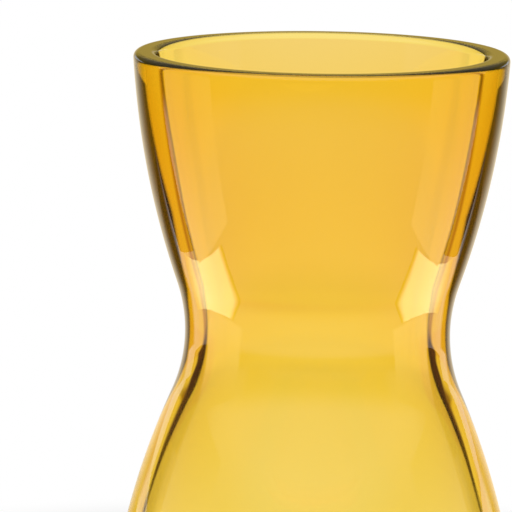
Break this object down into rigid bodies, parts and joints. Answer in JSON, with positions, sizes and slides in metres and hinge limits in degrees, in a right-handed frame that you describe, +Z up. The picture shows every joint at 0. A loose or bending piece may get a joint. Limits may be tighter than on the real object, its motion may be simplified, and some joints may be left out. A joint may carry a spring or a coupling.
{
  "type": "gourd vase",
  "caption": "Hourglass vase of thick amber glass with a round-edged open mouth, a narrow waist, a full lower bulb and a heavy base.",
  "frame": {"origin": "centre of the foot ring, on the surface that the vase stands on", "axes": "+Z up along the vase's axis to the mouth; the vase is round, so X and Y are any two directions square to it"},
  "size_m": [0.1272, 0.1272, 0.22],
  "materials": {
    "amber_glass": "clear amber glass, fire-polished, coloured through and deeper where the wall is thick"
  },
  "bodies": {
    "root": {"vessel": "amber_glass"}
  },
  "joints": []
}
